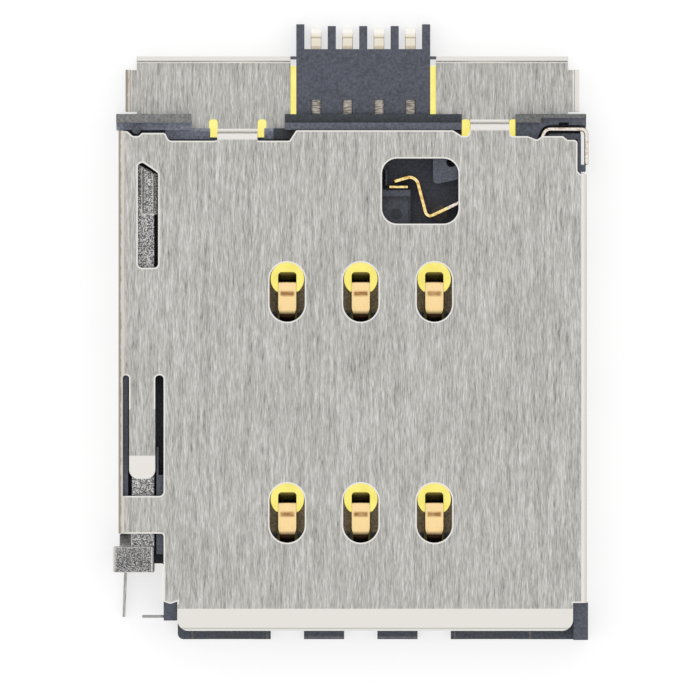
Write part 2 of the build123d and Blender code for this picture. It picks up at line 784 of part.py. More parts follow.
def rear_walls():
    """The rear wall in three lengths, left open where the shell's two necks come down."""
    left = SHELL_LEFT - 0.08
    left_end = LEFT_NECK_LOW - 0.90
    middle = LEFT_NECK_HIGH + 0.23
    inner_middle = COMB_LEFT - 0.39
    middle_end = RIGHT_NECK_LOW - 0.29
    right = RIGHT_NECK_HIGH + 0.22
    stepped = INNER_RIGHT - 1.43
    right_end = INNER_RIGHT + 0.13
    inside = INNER_RIGHT - 0.05
    bright = WALL_REAR - 0.30
    walls = block(INNER_LEFT, CHANNEL_RIGHT + 0.05, WALL_INNER, WALL_FRONT, FILM, FLOOR_TOP)
    walls += block(CHANNEL_RIGHT + 0.05, LEFT_NECK_LOW - 0.26, WALL_INNER, SHELF_FRONT, FILM, SILL_TOP)
    walls += block(left, left_end, WALL_FRONT, bright, FILM, LEDGE_TOP)
    walls += block(left, left_end, bright, WALL_REAR, FILM, WALL_TOP)
    walls += block(middle, middle_end, WALL_INNER, SHELF_FRONT, FILM, SILL_TOP)
    walls += block(inner_middle, middle_end, WALL_FRONT, bright, FILM, WALL_TOP)
    walls += block(inner_middle, middle_end, bright, WALL_REAR, FILM, LEDGE_TOP)
    walls += block(right, inside, WALL_INNER, WALL_FRONT, FILM, LEDGE_TOP)
    walls += block(right, right_end, WALL_FRONT, WALL_REAR, FILM, LEDGE_TOP)
    walls += block(right, stepped, bright, WALL_REAR, FILM, WALL_TOP)
    walls += block(stepped, right_end, WALL_REAR - 0.14, WALL_REAR, FILM, WALL_TOP)
    walls -= block(right_end - 0.95, right_end - 0.60, WALL_REAR - 0.44, WALL_REAR - 0.29, FLOOR_TOP, ROOF)
    walls += disc(INNER_LEFT + 0.46, WALL_FRONT, 0.145, FILM, WALL_TOP)
    walls += block(inside - 0.09, INNER_RIGHT + 0.11, CORNER_FRONT + 0.08, SPRING_FRONT, FILM, WALL_TOP)
    walls += block(inside - 0.12, inside, CORNER_FRONT, WALL_INNER, FILM, WALL_TOP)
    return walls


def comb():
    """The rear comb that spaces the four fingers."""
    half = TOOTH_WIDTH / 2
    body = block(COMB_LEFT, COMB_RIGHT, WALL_REAR, COMB_FRONT, FILM, COMB_HEIGHT)
    for index in range(5):
        x = tooth_x(index)
        reach = OUTER_TOOTH if index in (0, 4) else INNER_TOOTH
        tooth = block(x - half, x + half, COMB_FRONT, COMB_FRONT + reach, FILM, COMB_HEIGHT)
        body += chamfer(tooth.edges().group_by(Axis.Y)[-1].sort_by(Axis.Z)[-1], 0.12)
    for x_low, x_high in ((COMB_LEFT - NIB, COMB_LEFT), (COMB_RIGHT, COMB_RIGHT + NIB)):
        body += block(x_low, x_high, SHELF_REAR - NIB_DEPTH, SHELF_REAR, FILM, COMB_HEIGHT)
    window = FINGER_WIDTH / 2
    rear = WALL_REAR + COMB_WINDOW
    for index in range(4):
        x = finger_x(index)
        body -= block(x - window, x + window, WALL_REAR, rear, FINGER_LEVEL, COMB_HEIGHT)
    return body


def foot_recess(low, high):
    """The hopper-shaped lead-in of an outer foot: a ramp between two sloping cheeks."""
    cheek = 0.3 * (high - low)
    bottom = FLOOR_TOP - 0.20
    mouth = outline(
        (low, FLOOR_TOP), (low + cheek, bottom), (high - cheek, bottom), (high, FLOOR_TOP)
    )
    ramp = outline((HOUSING_FRONT, bottom), (FEET_REAR, FLOOR_TOP), (HOUSING_FRONT, FLOOR_TOP))
    return end_on(mouth, HOUSING_FRONT, FEET_REAR) & side_on(ramp, low, high)


def castellations():
    """The four front feet, with lead-in ramps on their upper edges."""
    half_gap = 0.575
    gaps = [x + side * half_gap for x in columns() for side in (-1, 1)]
    edges = [LIP_LEFT, *gaps, HOUSING_RIGHT]
    feet = [
        block(low, high, HOUSING_FRONT, FEET_REAR, FILM, FLOOR_TOP)
        for low, high in zip(edges[::2], edges[1::2])
    ]
    left, inner_left, inner_right, right = feet
    left -= foot_recess(edges[0] + 0.38, edges[1])
    right -= foot_recess(edges[6], INNER_RIGHT - 1.67)
    left = fillet(left.edges().filter_by(Axis.Z).group_by(Axis.Y)[0].sort_by(Axis.X)[0], 2 * CORNER)
    body = left + right
    for foot in (inner_left, inner_right):
        body += chamfer(foot.edges().group_by(Axis.Y)[0].group_by(Axis.Z)[-1], CORNER)
    return body


def switch_blocks():
    """The blocks round the switch: one under the fixed contact, one behind the leaf."""
    left = TAB_LEFT - 1.27
    right = TAB_LEFT + 0.67
    front = SWITCH - 1.50
    recess = FLOOR_TOP + 0.40
    blocks = block(left, right, front, SWITCH - TAB, FLOOR_TOP, recess)
    blocks += block(right, right + 0.08, front, SWITCH - 0.38, FLOOR_TOP, recess - 0.06)
    blocks += block(left, right + 0.08, SWITCH - 0.38, SWITCH - 0.16, FLOOR_TOP, FLOOR_TOP + 0.65)
    blocks += block(TAB_LEFT - 0.11, TAB_LEFT - 0.05, SWITCH, SWITCH + 0.54, FLOOR_TOP, FLOOR_TOP + 0.55)
    blocks -= disc(TAB_LEFT + 0.26, SWITCH - 0.99, 0.19, recess - 0.03, recess)
    far_left = TAB_LEFT + 1.527
    far_right = TAB_LEFT + 4.03
    far = outline(
        (far_left, WALL_INNER + 0.10),
        (far_left, SWITCH + 0.10, CORNER),
        (far_left + 0.16, SWITCH + 0.05, CORNER),
        (far_right, SWITCH + 0.57),
        (far_right, WALL_INNER + 0.10),
    )
    blocks += slab(far, FLOOR_TOP, WALL_TOP)
    blocks -= disc(TAB_LEFT + 2.154, SWITCH + 0.80, 0.17, FLOOR_TOP + 0.30, WALL_TOP)
    return blocks


def rod_guides():
    """The walls and ribs on both sides of the rod's channel."""
    beside = ROD_RIGHT + 0.08
    guides = block(CHANNEL_RIGHT, -TRAY_LEFT, GUIDE_FRONT, PIVOT_Y - 1.47, FLOOR_TOP, ROOF)
    guides += block(INNER_LEFT, INNER_LEFT + 0.18, STRAP_REAR - 0.05, PIVOT_Y - 1.37, FLOOR_TOP, WALL_TOP)
    guides += block(beside, CHANNEL_RIGHT, STRAP_FRONT - 0.71, TONGUE_TIP + 0.13, FLOOR_TOP, WALL_TOP)
    guides += block(beside, beside + 0.07, TONGUE_TIP, TONGUE_TIP + 1.10, FLOOR_TOP, WALL_TOP)
    return guides


def housing_cuts():
    """The openings under the contacts: a round hole below the tip and a slot to the root."""
    cuts = []
    half = BLADE_WIDTH / 2 + SLOT_GAP
    for x in columns():
        for y in rows():
            cuts.append(disc(x, y + HOLE_OFFSET, HOLE_RADIUS, FILM, FLOOR_TOP))
            cuts.append(block(x - half, x + half, y - 2.1, y + HOLE_OFFSET, FILM, FLOOR_TOP))
    cuts.append(disc(TAB_LEFT + 1.76, SWITCH - 0.95, 0.28, FLOOR_TOP - 0.03, FLOOR_TOP))
    cuts.append(slab(leaf_plan(LEAF_SPARE), FLOOR_TOP + LEAF_LOW, ROOF))
    return cuts


def make_base_housing(inserts):
    housing = slab(housing_floor(), FILM, FLOOR_TOP)
    housing += castellations()
    housing += rear_walls()
    housing += comb()
    housing += block(TRAY_RIGHT, INNER_RIGHT, SIDE_FRONT, CORNER_FRONT, FLOOR_TOP, ROOF)
    housing += block(TRAY_RIGHT, HOUSING_RIGHT, HOUSING_FRONT, SIDE_FRONT, FILM, ROOF)
    housing += rod_guides()
    housing += switch_blocks()
    housing += disc(PIVOT_X, PIVOT_Y, HUB_RADIUS, FLOOR_TOP, LEVER_LOW - PIN_CLEARANCE)
    for wedge in latches(0, LATCH_PROUD):
        housing += wedge
    for cut in housing_cuts():
        housing -= cut
    for piece in inserts:
        housing -= piece
    return housing


def make_film():
    """The insulating film under the base, cut away below the front notch."""
    right = TRAY_RIGHT - 0.30
    front = SIDE_FRONT + 0.10
    rear = SHELF_REAR - 0.32
    plan = outline(
        (CHANNEL_RIGHT, front),
        (right, front),
        (right, rear),
        (CHANNEL_RIGHT - 0.75, rear),
        (CHANNEL_RIGHT - 0.75, NOTCH_FLOOR),
        (CHANNEL_RIGHT, NOTCH_FLOOR),
    )
    return slab(plan, 0, FILM)


shell = make_top_shell()
contacts = make_contacts()
detect_contact = make_detect_contact()
rod_stop = make_rod_stop()
lever_pivot = make_lever_pivot()
inserts = [shell, *contacts.values(), detect_contact, rod_stop, lever_pivot]

pieces = {
    "top_shell": shell,
    "base_housing": make_base_housing(inserts),
    "insulating_film": make_film(),
    **contacts,
    "detect_spring": make_detect_spring(),
    "detect_contact": detect_contact,
    "rod_stop": rod_stop,
    "lever_pivot": lever_pivot,
    "eject_rod": make_eject_rod(),
    "eject_lever": make_eject_lever(),
}

for name, shape in pieces.items():
    export_step(shape, f"parts/{name}.step")
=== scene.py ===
# %% [markdown]
# A card reader for a phone, about the size of a fingernail, seen from straight above.
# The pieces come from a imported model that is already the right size, so this file never
# moves or resizes one of them. It gives each piece its finish and its rounded edges, and
# adds the table, the light and the camera.

# %% Load the pieces
import json
import math

import bpy
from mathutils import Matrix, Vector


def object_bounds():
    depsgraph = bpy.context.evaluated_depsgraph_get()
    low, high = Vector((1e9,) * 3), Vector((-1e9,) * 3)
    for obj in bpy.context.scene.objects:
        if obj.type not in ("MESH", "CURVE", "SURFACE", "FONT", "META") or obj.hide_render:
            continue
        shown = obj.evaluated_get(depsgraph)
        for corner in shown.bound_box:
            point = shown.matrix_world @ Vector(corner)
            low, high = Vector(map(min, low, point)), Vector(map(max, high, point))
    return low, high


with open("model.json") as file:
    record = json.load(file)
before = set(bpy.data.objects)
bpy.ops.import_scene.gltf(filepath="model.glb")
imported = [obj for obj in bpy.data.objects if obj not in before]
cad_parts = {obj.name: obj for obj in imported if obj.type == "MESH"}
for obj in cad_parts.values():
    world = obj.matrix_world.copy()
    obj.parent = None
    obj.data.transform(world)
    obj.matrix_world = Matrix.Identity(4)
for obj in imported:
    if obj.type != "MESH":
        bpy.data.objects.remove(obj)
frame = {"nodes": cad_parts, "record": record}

MM = 0.001
cad_low, cad_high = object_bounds()
pieces = frame["nodes"]
print("pieces:", ", ".join(sorted(pieces)))
print("size in mm:", [round(side / MM, 2) for side in cad_high - cad_low])

# %% [markdown]
# The photo looks straight down on to the reader. A camera close by would show its side
# walls, and one without perspective would come near the photo too. A long lens far away
# is how such small parts are really pictured, so that is used here. Its distance follows
# from the lens: the picture's width on the reader, times the lens, divided by the width
# of the camera's sensor.

# %% The camera
PICTURE_WIDTH = 700
PIXELS_PER_MM = 29.0
ORIGIN_AT_PIXEL = (360.8, 402.6)
SENSOR_WIDTH = 36.0
LENS = 600.0
PLATE_TOP = 1.6 * MM
CLIP_RATIO = 10


def place_at_pixel(x, y):
    """The place on the reader, in metres, that is at a pixel of the photo."""
    scale = MM / PIXELS_PER_MM
    return (x - ORIGIN_AT_PIXEL[0]) * scale, (ORIGIN_AT_PIXEL[1] - y) * scale


def make_camera():
    """Adds the camera and returns its distance from the plate."""
    data = bpy.data.cameras.new("camera")
    data.sensor_width = SENSOR_WIDTH
    data.lens = LENS
    distance = PICTURE_WIDTH / PIXELS_PER_MM * MM * LENS / SENSOR_WIDTH
    data.clip_start = distance / CLIP_RATIO
    data.clip_end = distance * CLIP_RATIO
    camera = bpy.data.objects.new("camera", data)
    x, y = place_at_pixel(PICTURE_WIDTH / 2, PICTURE_WIDTH / 2)
    camera.location = (x, y, PLATE_TOP + distance)
    bpy.context.scene.collection.objects.link(camera)
    bpy.context.scene.camera = camera
    return distance


print("camera distance in mm:", round(make_camera() / MM, 1))
bpy.context.scene.view_settings.view_transform = "Standard"

# %% [markdown]
# A finish is a small tree of nodes. It could be clicked together in the shader editor, but
# as code it can be read, changed and built again. A few helpers keep that code short: one
# adds a node and sets its values, one joins two sockets, one starts a material with its
# principled shader, and one tells what was made.

# %% Nodes, links and materials
def add(tree, kind, **values):
    """A new node of that kind with its sockets or settings set by name."""
    node = tree.nodes.new("ShaderNode" + kind)
    for name, value in values.items():
        socket = node.inputs.get(name.replace("_", " "))
        if socket is not None:
            socket.default_value = value
        else:
            setattr(node, name, value)
    return node


def join(tree, source, target):
    tree.links.new(source, target)


def start_material(name, **values):
    """A material with a principled shader. Values go straight to the shader's sockets."""
    material = bpy.data.materials.new(name)
    material.use_nodes = True
    tree = material.node_tree
    shader = tree.nodes["Principled BSDF"]
    for socket, value in values.items():
        shader.inputs[socket.replace("_", " ")].default_value = value
    return material, tree, shader


def tell(material):
    print("finish", material.name, "has", len(material.node_tree.nodes), "nodes")


# %% [markdown]
# No surface of the reader is one even colour. A pattern could come from a picture of metal
# or plastic, but a picture ends somewhere and then repeats. Noise does neither, and its
# grains get a size in millimetres. It is drawn in object coordinates, which are the
# reader's own metres here, so it stays on a piece when the piece moves. A ramp then turns
# the noise into colours.

# %% Noise and colours
NOISE_SPAN = (0.30, 0.70)    # most of a noise lies between these two values


def grain(tree, size, detail=2.0, shift=0.0, bend=0.0, rough=0.6):
    """Noise between 0 and 1 whose grains measure size = (x, y, z) millimetres."""
    place = add(tree, "TexCoord")
    stretch = add(tree, "Mapping")
    stretch.inputs["Scale"].default_value = [1 / (side * MM) for side in size]
    stretch.inputs["Location"].default_value = (shift, shift, shift)
    noise = add(tree, "TexNoise", Scale=1.0, Detail=detail, Roughness=rough, Distortion=bend)
    join(tree, place.outputs["Object"], stretch.inputs["Vector"])
    join(tree, stretch.outputs["Vector"], noise.inputs["Vector"])
    return noise.outputs["Fac"]


def ramp(tree, factor, *stops):
    """Colours along a factor. Each stop is a place from 0 to 1 and a colour."""
    node = add(tree, "ValToRGB")
    while len(node.color_ramp.elements) < len(stops):
        node.color_ramp.elements.new(0.5)
    for element, (place, colour) in zip(node.color_ramp.elements, stops):
        element.position = place
        element.color = (*colour, 1.0)
    join(tree, factor, node.inputs["Fac"])
    return node.outputs["Color"]


def blend_colours(tree, factor, first, second):
    """Colour first where the factor is 0 and second where it is 1."""
    node = add(tree, "Mix", data_type="RGBA")
    join(tree, factor, node.inputs[0])
    for source, target in ((first, node.inputs[6]), (second, node.inputs[7])):
        if isinstance(source, tuple):
            target.default_value = (*source, 1.0)
        else:
            join(tree, source, target)
    return node.outputs[2]


# %% [markdown]
# Many tones belong to one spot, such as a bend or a worn place. They could be painted on
# by hand, but a brush is less exact than the reader's own measures. So each spot gets a
# mask, a factor that is 1 there and 0 elsewhere. It is worked out from where a point lies
# on the reader, or from which way its surface faces.

# %% Masks
def spread(tree, factor, low, high, to_low=0.0, to_high=1.0):
    """Maps a factor from one range to another."""
    node = add(tree, "MapRange")
    names = ("From Min", "From Max", "To Min", "To Max")
    for name, value in zip(names, (low, high, to_low, to_high)):
        node.inputs[name].default_value = value
    join(tree, factor, node.inputs["Value"])
    return node.outputs["Result"]


def work_out(tree, operation, *terms):
    """A sum on sockets and plain numbers, such as ADD, MULTIPLY or MAXIMUM."""
    node = add(tree, "Math", operation=operation)
    for socket, term in zip(node.inputs, terms):
        if isinstance(term, (int, float)):
            socket.default_value = term
        else:
            join(tree, term, socket)
    return node.outputs["Value"]


def both(tree, first, second):
    """A mask that is 1 only where two masks are."""
    return work_out(tree, "MULTIPLY", first, second)


def either(tree, first, second):
    """A mask that is 1 where one of two masks is."""
    return work_out(tree, "MAXIMUM", first, second)


def without(tree, first, second):
    """The first mask with the second one taken away."""
    return work_out(tree, "SUBTRACT", first, second)


def band(tree, value, low, high, soft):
    """1 where a value lies between low and high, fading to 0 over a soft edge."""
    rising = spread(tree, value, low - soft, low)
    falling = spread(tree, value, high + soft, high)
    return both(tree, rising, falling)


def place_along(tree, axis):
    """The place on the reader along one axis, in metres."""
    place = add(tree, "TexCoord")
    split = add(tree, "SeparateXYZ")
    join(tree, place.outputs["Object"], split.inputs["Vector"])
    return split.outputs[axis]


def facing(tree, axis):
    """How far the surface faces along an axis, from -1 to 1. Up is 1 on Z."""
    shape = add(tree, "NewGeometry")
    split = add(tree, "SeparateXYZ")
    join(tree, shape.outputs["Normal"], split.inputs["Vector"])
    return split.outputs[axis]


# %% [markdown]
# The shell is thin stainless sheet with a fine brushed grain that runs the way the tray
# goes. Up close the grain is many short light and dark streaks. A shader that smears its
# reflections one way is the usual means, but under an even light it shows next to nothing.
# So the streaks are drawn as colours, from two noises that are stretched along Y, a fine
# one that wavers a little and a broader one.

# %% The shell's brushed grain
FINE_STREAKS = (0.030, 0.36, 0.030)
BROAD_STREAKS = (0.11, 1.8, 0.11)
BROAD_SHARE = 0.28
STREAK_STOPS = (
    (0.28, (0.160, 0.155, 0.140)),
    (0.43, (0.410, 0.402, 0.376)),
    (0.53, (0.520, 0.512, 0.484)),
    (0.66, (0.715, 0.707, 0.678)),
)


def streaks(tree):
    fine = grain(tree, FINE_STREAKS, detail=2.5, bend=0.08, rough=0.7)
    broad = grain(tree, BROAD_STREAKS, detail=1.0, shift=7.0)
    mixed = add(tree, "Mix", data_type="FLOAT", Factor=BROAD_SHARE)
    join(tree, fine, mixed.inputs[2])
    join(tree, broad, mixed.inputs[3])
    return ramp(tree, mixed.outputs[0], *STREAK_STOPS)


# %% [markdown]
# Where the sheet is bent or flared, the grain is rubbed smooth, and the brighter colour
# there is a painted highlight. The left bend is darker with painted shade, and a brown
# painted shadow line wavers along its outer edge. The outer part of the right bend has a
# warmer, dimmer painted shade. The shelf at the rear starts further in, so there the left
# tones move in with it. A fine dark line runs along the lip just inside its front edge.
# The bends could be materials of their own, but those would meet the plate in hard seams,
# where a mask can fade.

# %% The shell's bends and their painted light
STEEL_BEND_HIGHLIGHT = (0.79, 0.765, 0.725)
STEEL_PAINTED_RIGHT_SHADE = (0.66, 0.60, 0.55)
STEEL_PAINTED_LEFT_SHADE = (0.64, 0.60, 0.55)
STEEL_SHADED = (0.33, 0.29, 0.24)
STEEL_LINE = (0.56, 0.55, 0.52)
PAINTED_SHADE_FROM_LEFT = (0.50 * MM, 0.42 * MM)
SHADOW_LINE_FROM_LEFT = (0.33 * MM, 0.28 * MM)
PAINTED_SHADE_FROM_RIGHT = (0.19 * MM, 0.09 * MM)
WAVER_SIZE = (0.3, 0.3, 0.3)
WAVER = 0.05 * MM
SHELF_STARTS = (9.8 * MM, 9.9 * MM)
SHELF_INSET = 0.23 * MM
LIP_LINE = (-7.80 * MM, -7.77 * MM)
LINE_SOFT = 0.02 * MM


def bend_painted_light(tree):
    along = place_along(tree, "Y")
    shelf = spread(tree, along, *SHELF_STARTS)
    inset = work_out(tree, "MULTIPLY", shelf, SHELF_INSET)
    side = work_out(tree, "SUBTRACT", place_along(tree, "X"), inset)
    waver = spread(tree, grain(tree, WAVER_SIZE), *NOISE_SPAN, 0, WAVER)
    wavering = work_out(tree, "ADD", side, waver)
    # Painted light on the bends: a highlight all along, shade on the left bend with a brown shadow
    # line at its outer edge, and a warmer shade on the right bend's outer part.
    right_painted_shade = spread(tree, side, *(cad_high.x - depth for depth in PAINTED_SHADE_FROM_RIGHT))
    left_painted_shade = spread(tree, side, *(cad_low.x + depth for depth in PAINTED_SHADE_FROM_LEFT))
    painted_brown = spread(tree, wavering, *(cad_low.x + depth for depth in SHADOW_LINE_FROM_LEFT))
    tone = blend_colours(tree, right_painted_shade, STEEL_BEND_HIGHLIGHT, STEEL_PAINTED_RIGHT_SHADE)
    tone = blend_colours(tree, left_painted_shade, tone, STEEL_PAINTED_LEFT_SHADE)
    tone = blend_colours(tree, painted_brown, tone, STEEL_SHADED)
    return blend_colours(tree, band(tree, along, *LIP_LINE, LINE_SOFT), tone, STEEL_LINE)


# %% [markdown]
# The level plate and the side walls keep the grain, and a mask finds them by the way they
# face. The shelf's turned-up edges have level tops that are smooth all the same, so their
# height takes them out again. A rim is really round and shines like the top of a small
# roll. It could be cut finer in the mesh, but turning its shading normal part of the way
# up gives the same shine.

# %% The shell's steel
LEVEL = (0.990, 0.9995)
UPRIGHT = (0.98, 0.995)
FLANGE_TOP = (0.68 * MM, 0.72 * MM)
FLANGE_SOFT = 0.01 * MM
ROLLED = (0.68, 0.73)
ROLLED_SOFT = 0.03


def keeps_grain(tree):
    tilt = work_out(tree, "ABSOLUTE", facing(tree, "Z"))
    flange = band(tree, place_along(tree, "Z"), *FLANGE_TOP, FLANGE_SOFT)
    level = without(tree, spread(tree, tilt, *LEVEL), flange)
    sideways = work_out(tree, "ABSOLUTE", facing(tree, "X"))
    return either(tree, level, spread(tree, sideways, *UPRIGHT))


def turn_up(tree, shader, amount):
    """Turns the shading normal part of the way up, further for a larger amount."""
    shape = add(tree, "NewGeometry")
    lift = add(tree, "CombineXYZ")
    join(tree, amount, lift.inputs["Z"])
    total = add(tree, "VectorMath", operation="ADD")
    join(tree, shape.outputs["Normal"], total.inputs[0])
    join(tree, lift.outputs["Vector"], total.inputs[1])
    unit = add(tree, "VectorMath", operation="NORMALIZE")
    join(tree, total.outputs["Vector"], unit.inputs[0])
    join(tree, unit.outputs["Vector"], shader.inputs["Normal"])


def brushed_steel():
    material, tree, shader = start_material("shell_steel", Metallic=1.0, Roughness=0.32)
    colour = blend_colours(tree, keeps_grain(tree), bend_painted_light(tree), streaks(tree))
    join(tree, colour, shader.inputs["Base Color"])
    turn_up(tree, shader, band(tree, facing(tree, "Z"), *ROLLED, ROLLED_SOFT))
    return material


shell_finish = brushed_steel()
tell(shell_finish)

# %% [markdown]
# The contacts stand in two rows of three, and some tones come back at each of them. Such
# a tone could be placed six times, but it is less work to place it once. Y is wrapped to
# the rows' spacing and X to the columns', which gives each contact the same small
# coordinates. The wrapping goes on past the outer contacts, so a patch is cut off at both
# sides and behind the rear row.

# %% Places round a contact
ROW_SPAN = 7.62 * MM
COLUMN_SPAN = 2.54 * MM
FIELD_HALF = 3.6 * MM
FIELD_REAR = 6.0 * MM
PATCH_SOFT = 0.05 * MM


def behind_row(tree):
    """How far a place lies behind the row of its contact, in metres."""
    wrapped = work_out(tree, "WRAP", place_along(tree, "Y"), ROW_SPAN, 0.0)
    return work_out(tree, "SUBTRACT", wrapped, ROW_SPAN / 2)


def beside_column(tree):
    """How far a place lies to the side of its contact's column, in metres."""
    side = work_out(tree, "WRAP", place_along(tree, "X"), COLUMN_SPAN / 2, -COLUMN_SPAN / 2)
    return work_out(tree, "ABSOLUTE", side)


def patch(tree, low, high, half, soft=PATCH_SOFT):
    """1 on an oblong at each contact, from low to high behind its row, half to each side."""
    within = spread(tree, beside_column(tree), half + soft, half)
    oblong = both(tree, band(tree, behind_row(tree), low, high, soft), within)
    field = spread(tree, place_along(tree, "Y"), FIELD_REAR + soft, FIELD_REAR)
    columns = band(tree, place_along(tree, "X"), -FIELD_HALF, FIELD_HALF, soft)
    return both(tree, oblong, both(tree, field, columns))


# %% [markdown]
# The base, its comb and its blocks are one dark moulding in matt slate blue, with a faint
# eroded texture from the mould. The texture could be raised in the mesh, but its grains
# are only a few pixels wide. So one fine noise mottles the colour and raises very small
# bumps that only the shading sees.

# %% Mottles and bumps
MOTTLE = 0.45


def mottled(tree, noise, colour):
    """A colour that a noise makes a little darker and a little lighter."""
    dark = tuple(part * (1 - MOTTLE) for part in colour)
    light = tuple(part * (1 + MOTTLE) for part in colour)
    return ramp(tree, noise, *zip(NOISE_SPAN, (dark, light)))


def raise_bumps(tree, shader, height, depth):
    """Bumps on the shader, depth metres deep."""
    bump = add(tree, "Bump", Strength=1.0)
    bump.inputs["Distance"].default_value = depth
    join(tree, height, bump.inputs["Height"])
    join(tree, bump.outputs["Normal"], shader.inputs["Normal"])


# %% [markdown]
# The rear wall goes down in ledges, and in the photo each has a tone of its own. At both
# ends the upper band is a pale olive and the steps in front of it are bluer. The step
# next to the band is lightest on the left, and the right end is all a little darker. In
# the middle the steps are in shadow. A lamp could light them so, but it would spoil the
# even light on the steel, so each ledge gets a mask and a colour instead.

# %% Ledges of the rear wall
SLATE_LIGHT = (0.095, 0.104, 0.132)
SLATE_BLUE = (0.162, 0.178, 0.230)
SLATE_PALE = (0.235, 0.255, 0.315)
SLATE_OLIVE = (0.175, 0.177, 0.175)
SLATE_SHADED = (0.034, 0.040, 0.050)
MIDDLE = (-3.0 * MM, 4.6 * MM)
MIDDLE_OLIVE = (-5.8 * MM, 5.2 * MM)
REAR_STEPS = (9.05 * MM, 9.96 * MM)
STEP_STARTS = 9.39 * MM
BAND_STARTS = 9.64 * MM
LEDGES_END = 1.20 * MM
LEDGE_SOFT = 0.03 * MM


def rear_ledges(tree, side, along, height):
    """The masks of the ledges with their colours, the shadow's mask and the right end's."""
    rear = band(tree, along, *REAR_STEPS, LEDGE_SOFT)
    steps = both(tree, rear, spread(tree, height, LEDGES_END + LEDGE_SOFT, LEDGES_END))
    tops = without(tree, rear, steps)
    middle = band(tree, side, *MIDDLE, LEDGE_SOFT)
    shaded = both(tree, steps, middle)
    blue = without(tree, steps, shaded)
    left = spread(tree, side, MIDDLE[0] + LEDGE_SOFT, MIDDLE[0])
    right = spread(tree, side, MIDDLE[1] - LEDGE_SOFT, MIDDLE[1])
    top_step = both(tree, left, spread(tree, along, STEP_STARTS - LEDGE_SOFT, STEP_STARTS))
    upper = both(tree, tops, spread(tree, along, BAND_STARTS - LEDGE_SOFT, BAND_STARTS))
    inner = both(tree, upper, band(tree, side, *MIDDLE_OLIVE, LEDGE_SOFT))
    tints = (
        (both(tree, tops, middle), SLATE_LIGHT),
        (blue, SLATE_BLUE),
        (both(tree, blue, top_step), SLATE_PALE),
        (without(tree, upper, inner), SLATE_OLIVE),
    )
    return tints, shaded, both(tree, rear, right)


# %% [markdown]
# The ramps of the front feet and the shallow disc in the near block are in shadow too, and
# round each contact the gold and the film throw a brown light on the floor. A small round
# mark in the floor has a trace of it. A ramp is known by its slope and a disc by its
# height, so neither needs a piece or a material of its own.

# %% Moulded base plastic
SLATE = (0.066, 0.073, 0.097)
SLATE_BROWN = (0.460, 0.360, 0.210)
BLACK = (0.0, 0.0, 0.0)
SPECKLE_SIZE = (0.09, 0.09, 0.09)
SPECKLE_DEPTH = 0.004 * MM
RAMP_SLOPE = (-0.55, -0.45)
RAMP_SOFT = 0.05
NEAR_DISC = (0.715 * MM, 0.725 * MM)
FLOOR_MARK = (0.315 * MM, 0.325 * MM)
DISC_SOFT = 0.005 * MM
MARK_SHARE = 0.22
RIGHT_SHADE = 0.28
WINDOW_FLOOR = (-0.62 * MM, 0.30 * MM, 0.62 * MM)
FLOOR_SOFT = 0.12 * MM


def moulded_plastic():
    material, tree, shader = start_material("base_plastic", Roughness=0.55)
    speckle = grain(tree, SPECKLE_SIZE, detail=3.0)
    side, along, height = (place_along(tree, axis) for axis in "XYZ")
    tints, shaded, right = rear_ledges(tree, side, along, height)
    # Painted shade on the ramps and the near disc, and a painted brown light round each contact,
    # with a trace of it on the floor mark.
    ramps = band(tree, facing(tree, "Y"), *RAMP_SLOPE, RAMP_SOFT)
    disc = band(tree, height, *NEAR_DISC, DISC_SOFT)
    shaded = either(tree, shaded, either(tree, ramps, disc))
    mark = work_out(tree, "MULTIPLY", band(tree, height, *FLOOR_MARK, DISC_SOFT), MARK_SHARE)
    painted_brown = either(tree, patch(tree, *WINDOW_FLOOR, FLOOR_SOFT), mark)
    tone = mottled(tree, speckle, SLATE)
    for mask, colour in (*tints, (shaded, SLATE_SHADED), (painted_brown, SLATE_BROWN)):
        tone = blend_colours(tree, mask, tone, mottled(tree, speckle, colour))
    darker = work_out(tree, "MULTIPLY", right, RIGHT_SHADE)
    tone = blend_colours(tree, darker, tone, BLACK)
    join(tree, tone, shader.inputs["Base Color"])
    raise_bumps(tree, shader, speckle, SPECKLE_DEPTH)
    return material


base_finish = moulded_plastic()
tell(base_finish)

# %% [markdown]
# The film under the base is clear yellow plastic. Light comes up through it from the pale
# table, so it glows in the round holes, where everything round it is dark. A see-through
# material could do that, but it takes many light paths and stays noisy, and an emission of
# the film's own colour looks the same. In the narrow slots beside the blades hardly any
# light gets through, so there the film is a deep olive.

# %% Yellow film
FILM_SKIN = (0.16, 0.16, 0.18)
FILM_SLOT = (0.05, 0.04, 0.015)
FILM_SLOTS = (-2.30 * MM, 0.00 * MM, 0.45 * MM)
SLOT_GLOW = 0.04
CLOUD_SIZE = (0.5, 0.5, 0.5)
CLOUD_STOPS = ((0.35, (0.88, 0.76, 0.150)), (0.60, (0.95, 0.84, 0.195)))


def yellow_film():
    material, tree, shader = start_material("film_yellow", Roughness=0.35)
    # The glow is painted light, the table's light coming through the film. In the slots it is
    # turned down and the film made dark olive, a painted shade.
    glow = ramp(tree, grain(tree, CLOUD_SIZE, detail=3.0), *CLOUD_STOPS)
    join(tree, glow, shader.inputs["Emission Color"])
    slot = patch(tree, *FILM_SLOTS)
    join(tree, spread(tree, slot, 0, 1, 1.0, SLOT_GLOW), shader.inputs["Emission Strength"])
    join(tree, blend_colours(tree, slot, FILM_SKIN, FILM_SLOT), shader.inputs["Base Color"])
    return material


film_finish = yellow_film()
tell(film_finish)

# %% [markdown]
# The six contacts are springs of gold-plated bronze. Each is bright at its crest and down
# the long slope behind it. Where the card rubs, the plating has worn to a soft brown
# band. The steep tip and the root face away from the light in the photo and are nearly
# black. The scene's light comes from all sides and would leave them bright, so they are
# toned by their place behind the row.

